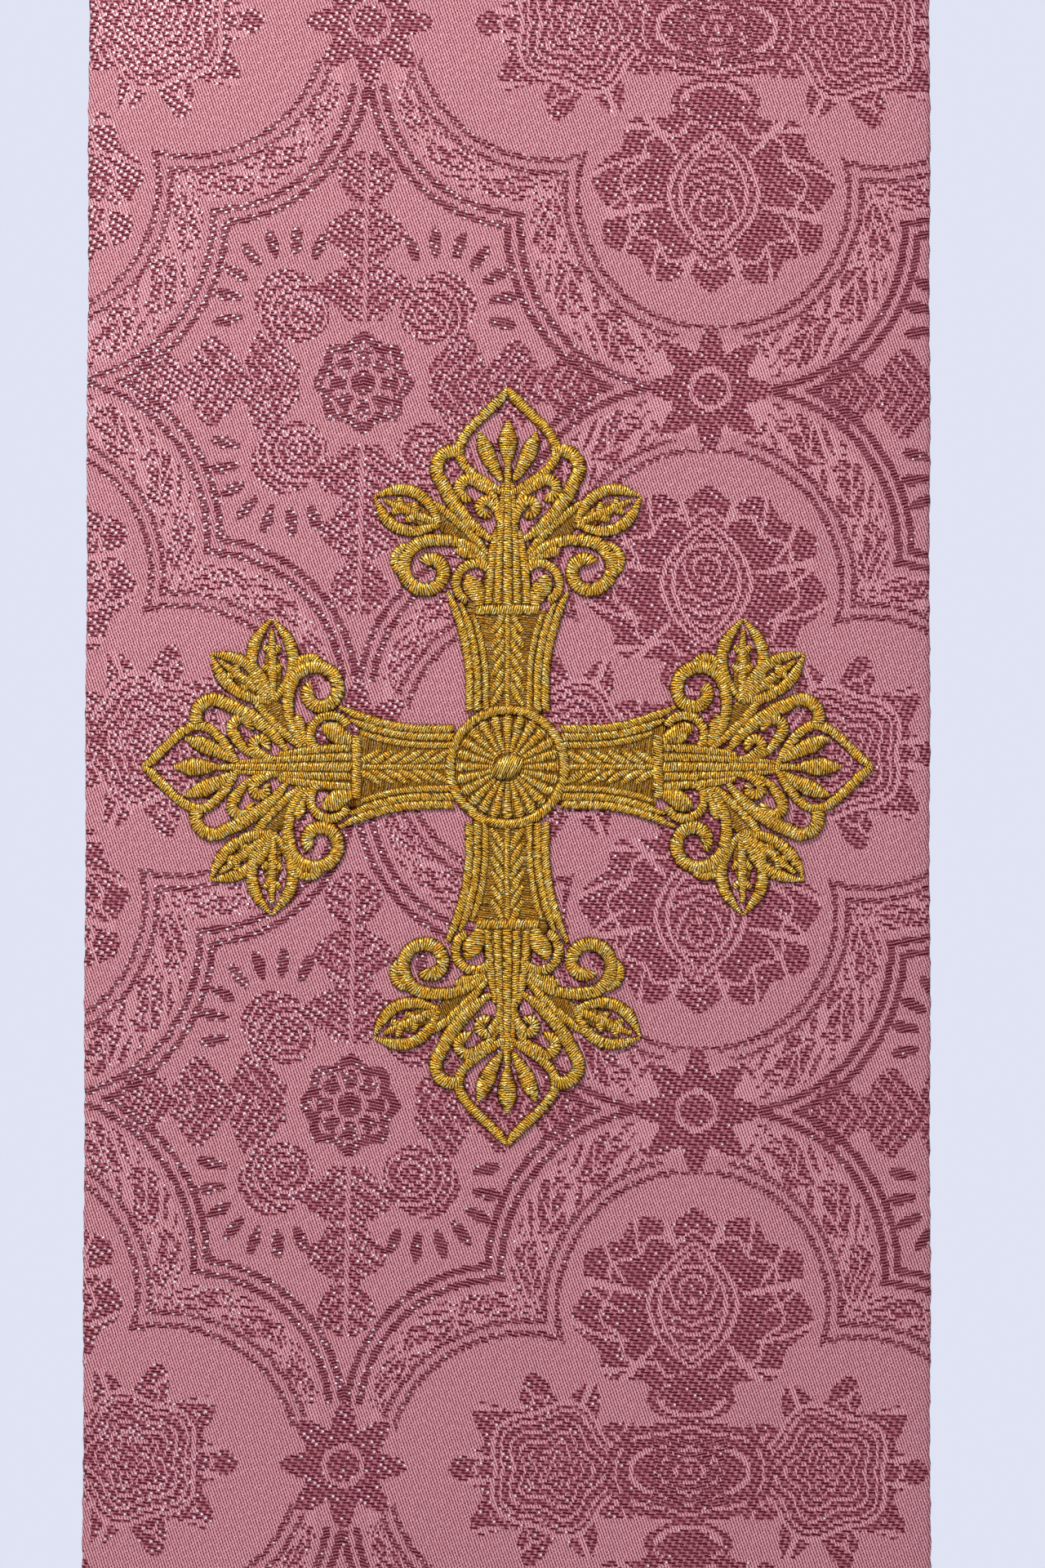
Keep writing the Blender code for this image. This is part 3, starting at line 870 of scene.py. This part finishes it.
def flowerStrokes(flower):
    # the strokes on one side of a flower
    cap, reach = crossWork["cap"] * flower["stretch"], flower["reach"]
    low = crossWork["ground"]
    base = np.array(flower["leafBase"])
    stemOut = cap + 8.0
    strokes = [
        (0.95, 12, bowPoints((cap + 0.7, 1.55), (reach - 15, 0.7), 0.15, (0.62, 0.62, 0.55, 0.42, 0.25))),
        (0.95, 12, bowPoints((cap + 0.7, 3.1), (cap + 12.6, 1.9), 0.2, (0.62, 0.62, 0.6, 0.4))),
        (low, 20, bowPoints((stemOut - 0.8, 2.8), base + (3.2, 2.0), 0.0, (1.4, 2.1, 2.0, 1.5, 0.6))),
        (1.2, -15, bowPoints((cap + 0.5, 4.2), (cap + 5.7, 6.3), 0, (0.6, 1.25, 1.75, 1.4, 0.2))),
        (0.95, 10, curlPoints((cap + 4.3, 5.0), (3.3, 2.9), (155, -55), 0.72)),
        (1.05, 8, bowPoints((stemOut - 0.7, 3.2), (stemOut + 1.4, 8.4), -0.4,
                            (0.2, 0.45, 0.55, 1.05, 0.3))),
        (0.95, 12, bowPoints((stemOut + 0.6, 3.0), base + (3.6, 1.2), -0.5, (0.3, 0.7, 0.74, 0.72, 0.4))),
    ]
    # the big curl, led out from the stem
    curl = curlPoints(flower["curl"], (4.5, 1.3), (12, 400), 1.08, 16)
    lead = bowPoints((stemOut, 3.2), curl[0][:2], -1.4, (0.3, 0.78, 0.85, 0.95, 1.0))
    strokes.append((1.35, 12, lead[:-1] + curl))
    middle = np.array(flower["curl"])
    strokes.append((1.15, 10, curlPoints(middle + (1.4, 3.2), (2.3, 2.0), (-10, 150), 0.72, 6)))
    # the lobe over the side leaf, led back to the stem
    lobe = curlPoints(flower["lobe"], (2.6, 3.0), (-25, 130), 1.08)
    lead = bowPoints(lobe[-1][:2], (stemOut + 3.0, 2.5), -0.9, (1.1, 1.15, 1.1, 0.9, 0.4))
    strokes.append((1.35, 12, lobe + lead[1:]))
    # side leaves with a rib and sprigs
    for tip, bow in flower["leaves"]:
        tip = np.array(tip)
        way = tip - base
        along = way / np.linalg.norm(way)
        aside = np.array((-along[1], along[0]))
        strokes.append((low, 25, bowPoints(base, base + way * 0.84, 0, (0.7, 1.5, 1.5, 0.8, 0.3))))
        strokes.append((0.95, 15, bowPoints(base, base + way * 0.86, 0, (0.5, 0.72, 0.68, 0.3))))
        for turned in (-1, 1):
            edge = bowPoints(base, tip, bow * turned, (0.4, 0.82, 0.92, 0.88, 0.1))
            strokes.append((1.1, 8 * turned, edge))
            for share in (0.34, 0.58):
                root = base + way * share
                out = root + (along * 1.2 + aside * turned * 1.5) * (1.35 - share * 0.6)
                strokes.append((0.85, 0, bowPoints(root, out, 0, (0.4, 0.6, 0.2))))
    # the pointed arch round the petals
    arch = []
    for t in np.linspace(0, 1, 11):
        arch.append((reach - flower["archLong"] * t, flower["archHalf"] * math.sin(math.pi * t ** 1.3), 0.76))
    arch[0] = (*arch[0][:2], 0.3)
    arch[-1] = (*arch[-1][:2], 0.3)
    strokes.append((1.15, 10, arch))
    petal = bowPoints((reach - 14.8, 0.9), (reach - 6.8, 4.6), 0.3, (0.3, 0.8, 1.15, 1.35, 0.95, 0.1))
    strokes.append((1.2, 0, petal))
    # two small scrolls under it
    scroll = curlPoints((reach - 16.2, 6.3), (0.9, 1.9), (205, -50), 0.95)
    strokes.append((1.15, 12, scroll + [(reach - 16.6, 2.7, 0.62), (reach - 19.2, 1.3, 0.4)]))
    scroll = curlPoints((reach - 19.0, 3.4), (0.8, 1.2), (220, -40), 0.9, 7)
    strokes.append((1.15, 12, scroll + [(reach - 20.2, 1.4, 0.6), (reach - 22.8, 0.9, 0.4)]))
    return strokes


def smoothPath(points, spacing):
    # evenly spaced along a smooth curve through the rows of points; the third column follows
    rows = np.array(points, float)
    fine = curveThrough(rows, 2 * rows[0] - rows[1], 2 * rows[-1] - rows[-2], 24)
    along = np.concatenate([[0], np.cumsum(np.linalg.norm(np.diff(fine[:, :2], axis=0), axis=1))])
    count = max(4, int(round(along[-1] / spacing)) + 1)
    even = np.linspace(0, along[-1], count)
    return np.stack([np.interp(even, along, fine[:, column]) for column in range(3)], axis=1)


def strokeShape(points, height, slant, closed=False):
    # sections of a satin stroke: crest and groove by turns, each a flat-bottomed arch
    path = smoothPath(points, crossWork["pitch"] / 2)
    count = len(path)
    direction = np.gradient(path[:, :2], axis=0)
    direction /= np.linalg.norm(direction, axis=1, keepdims=True) + 1e-9
    half = np.maximum(path[:, 2], 0.02)
    jitter = np.minimum(crossWork["loose"], 0.13 / half) * rng.uniform(-1, 1, count)
    angle = np.arctan2(direction[:, 1], direction[:, 0]) + math.pi / 2 - math.radians(slant) + jitter
    acrossWay = np.stack([np.cos(angle), np.sin(angle)], axis=1)
    crest = (np.arange(count) % 2 == 0).astype(float)
    reach = half * (0.98 + 0.04 * crest) + crest * rng.uniform(-0.05, 0.24, count) + 0.06
    tall = crossWork["low"] * np.minimum(height, 0.45 + 0.75 * half) * (0.84 + 0.16 * crest)
    tall = tall * rng.uniform(0.90, 1.08, count)
    ends = np.ones(count)
    if not closed:
        ends[0] = ends[-1] = 0.0
    arch = np.radians([0, 35, 90, 145, 180, 360])
    section = np.stack([np.cos(arch), np.sin(arch)], axis=1)
    section[-1] = section[0]
    lift = np.abs(section[:, 1]) ** 0.5
    flat = path[:, None, :2] + acrossWay[:, None, :] * (reach * ends)[:, None, None] * section[None, :, :1]
    high = crossWork["base"] + (tall * ends)[:, None] * lift[None, :]
    threads = np.arange(count)[:, None] / 2 + 0.25 + 0 * high
    breadth = reach[:, None] * section[None, :, 0]
    return flat, high, threads, breadth


def crossStrokes():
    work = crossWork
    strokes = []
    for turn in range(4):
        flower = levelFlower if turn % 2 else uprightFlower
        angle = turn * math.pi / 2
        spin = np.array(((math.cos(angle), -math.sin(angle)), (math.sin(angle), math.cos(angle))))
        for mirror in (1, -1):
            rows = shaftStrokes(flower["stretch"]) + flowerStrokes(flower)
            if mirror == 1:
                rows = middleStrokes(flower) + rows
            for height, slant, points in rows:
                placed = [(*(spin @ np.array((q * mirror, r))), half) for r, q, half in points]
                strokes.append((placed, height, slant * mirror, False))
    # the wheel in the middle: petals, rim, button and flat stitching
    for n in range(work["petals"]):
        angle = 2 * math.pi * n / work["petals"]
        petal = [(r * math.cos(angle), r * math.sin(angle), half) for r, half in work["petalPoints"]]
        strokes.append((petal, 1.25, 0, False))
    ring = [(work["rimRadius"] * math.cos(a), work["rimRadius"] * math.sin(a), work["rimHalf"])
            for a in np.linspace(0, 2 * math.pi, work["rimPoints"])]
    strokes.append((ring, work["rimHeight"], 32, True))
    radius = work["buttonRadius"]
    side, half = radius * 0.75, radius * 0.66
    button = [(-radius, 0, 0.1), (-side, 0, half), (0, 0, radius), (side, 0, half), (radius, 0, 0.1)]
    strokes.append((button, 2.1, 25, False))
    strokes.append(([(place, 0, half) for place, half in work["underWheel"]], 0.45, 0, False))
    return strokes


def flatCross():
    # all strokes side by side on a flat plane, in mm, each one a rolled grid with its ends drawn shut
    whole = bmesh.new()
    carrier = bpy.data.meshes.new("stroke")
    shift = 0
    for points, height, slant, closed in crossStrokes():
        flat, high, threads, breadth = strokeShape(points, height, slant, closed)
        count, around = high.shape
        if closed:
            flat[-1], high[-1] = flat[0], high[0]
        bm = bmesh.new()
        uvLayer = bm.loops.layers.uv.new("threads")
        acrossLayer = bm.loops.layers.uv.new("across")
        bmesh.ops.create_grid(bm, x_segments=count - 1, y_segments=around - 1, size=0.5)
        spot = []
        for vertex in bm.verts:
            i = round((vertex.co.x + 0.5) * (count - 1))
            j = round((vertex.co.y + 0.5) * (around - 1))
            spot.append((i, j))
            vertex.co = (flat[i, j, 0], flat[i, j, 1], high[i, j])
        for face in bm.faces:
            for loop in face.loops:
                i, j = spot[loop.vert.index]
                loop[uvLayer].uv = (threads[i, j] + shift, breadth[i, j])
                # the across layer carries where the painted shade goes: the share across the stroke, and 1 on
                # the flat stitching under the strokes
                loop[acrossLayer].uv = (breadth[i, j] / breadth[i, 0], float(height < 0.5))
        bmesh.ops.remove_doubles(bm, verts=bm.verts, dist=1e-4)
        bmesh.ops.recalc_face_normals(bm, faces=bm.faces)
        bm.to_mesh(carrier)
        bm.free()
        whole.from_mesh(carrier)
        shift += count
    bpy.data.meshes.remove(carrier)
    return whole


def makeCross(name, side, node, flatWork, goldThread):
    bm = flatWork.copy()
    flat = np.array([vertex.co for vertex in bm.verts])
    along, away = crossAlong - flat[:, 1] * mm, side * flat[:, 0] * mm
    places = bandPoints(side, along, away, bandCut["wall"] + flat[:, 2] * mm)
    for vertex, place in zip(bm.verts, places):
        vertex.co = place
    bmesh.ops.recalc_face_normals(bm, faces=bm.faces)
    cross = smoothPiece(name, bm, [goldThread])
    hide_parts(node)
    return cross


# build
print("materials")
brocadeCloth = brocadeMaterial()
backCloth = backClothMaterial()
goldThread = goldThreadMaterial()

print("bands")
for side, word in ((1, "left"), (-1, "right")):
    band = makeBand("brocadeBand_" + word, side, "band_" + word, brocadeCloth, backCloth)

print("crosses")
flatWork = flatCross()
for side, word in ((1, "left"), (-1, "right")):
    cross = makeCross("goldCross_" + word, side, "cross_" + word, flatWork, goldThread)
    print(cross.name, len(cross.data.polygons), "faces")

# camera and light
view = {
    "distance": 0.62,
    "pixel": 0.1294 * mm,          # the photo's scale at the band
    "shift": (18.5, 21.0),         # from the cross's middle to the photo's, right and down, in pixels
    "tall": 1920,
}



def onRightBand(down, away):
    # a place on the brocade of the right band, from the middle of its cross
    return bandPoints(-1, crossAlong + down, away, bandCut["wall"])[0]


centre = Vector(onRightBand(0.0, 0.0))
upWay = Vector(onRightBand(-60 * mm, 0.0) - onRightBand(60 * mm, 0.0)).normalized()
rightWay = Vector(onRightBand(0.0, -50 * mm) - onRightBand(0.0, 50 * mm)).normalized()
outWay = rightWay.cross(upWay).normalized()
upWay = outWay.cross(rightWay).normalized()
right, down = view["shift"]
target = centre + rightWay * right * view["pixel"] - upWay * down * view["pixel"]

cameraData = bpy.data.cameras.new("photoView")
cameraData.sensor_fit = "VERTICAL"
cameraData.angle = 2 * math.atan(view["tall"] * view["pixel"] / 2 / view["distance"])
camera = bpy.data.objects.new("photoView", cameraData)
turned = Matrix((rightWay, upWay, outWay)).transposed().to_4x4()
camera.matrix_world = Matrix.Translation(target + outWay * view["distance"]) @ turned
bpy.context.scene.collection.objects.link(camera)
bpy.context.scene.camera = camera


def areaLight(name, place, aim, size, power, colour):
    data = bpy.data.lights.new(name, "AREA")
    data.shape = "DISK"
    data.size = size
    data.energy = power
    data.color = colour
    lamp = bpy.data.objects.new(name, data)
    turned = (aim - place).to_track_quat("-Z", "Y").to_matrix().to_4x4()
    lamp.matrix_world = Matrix.Translation(place) @ turned
    bpy.context.scene.collection.objects.link(lamp)


coolWhite = (0.95, 0.96, 1.0)
windowPlace = centre + rightWay * -0.35 + upWay * 0.68 + outWay * 0.62
fillPlace = centre + rightWay * 0.9 + upWay * 0.5 + outWay * 1.6
areaLight("windowLight", windowPlace, centre + upWay * 0.05, 0.28, 9.2, (1.0, 0.965, 0.93))
areaLight("softFill", fillPlace, centre, 1.4, 5.7, coolWhite)
areaLight("backFill", Vector((0.3, 1.8, 0.4)), Vector((0, -0.1, -0.4)), 1.6, 16.0, coolWhite)

# a pale wall behind the stole, and a dimmer room in front of it
world = bpy.data.worlds.new("paleRoom")
world.use_nodes = True
worldTree = world.node_tree
facing = worldTree.nodes.new("ShaderNodeTexCoord")
split = worldTree.nodes.new("ShaderNodeSeparateXYZ")
worldTree.links.new(facing.outputs["Generated"], split.inputs[0])
behind = Wire(worldTree, split.outputs["Y"]).between(-0.2, 0.75)
wall = colourMix(behind, (0.34, 0.35, 0.395), (0.745, 0.768, 0.896))
worldTree.links.new(wall.socket, worldTree.nodes["Background"].inputs[0])
bpy.context.scene.world = world
bpy.context.scene.view_settings.view_transform = "Standard"

floorMesh = bmesh.new()
bmesh.ops.create_circle(floorMesh, cap_ends=True, segments=96, radius=1.6)
bmesh.ops.translate(floorMesh, verts=floorMesh.verts, vec=(0, -0.1, cadBox[0][2] - 0.40))
floorData = bpy.data.meshes.new("paleFloor")
floorMesh.to_mesh(floorData)
floorMesh.free()
paleFloor = newMaterial("paleFloor", Roughness=0.7, Base_Color=(0.78, 0.79, 0.84, 1))[0]
floorData.materials.append(paleFloor)
floor = bpy.data.objects.new("paleFloor", floorData)
bpy.context.scene.collection.objects.link(floor)
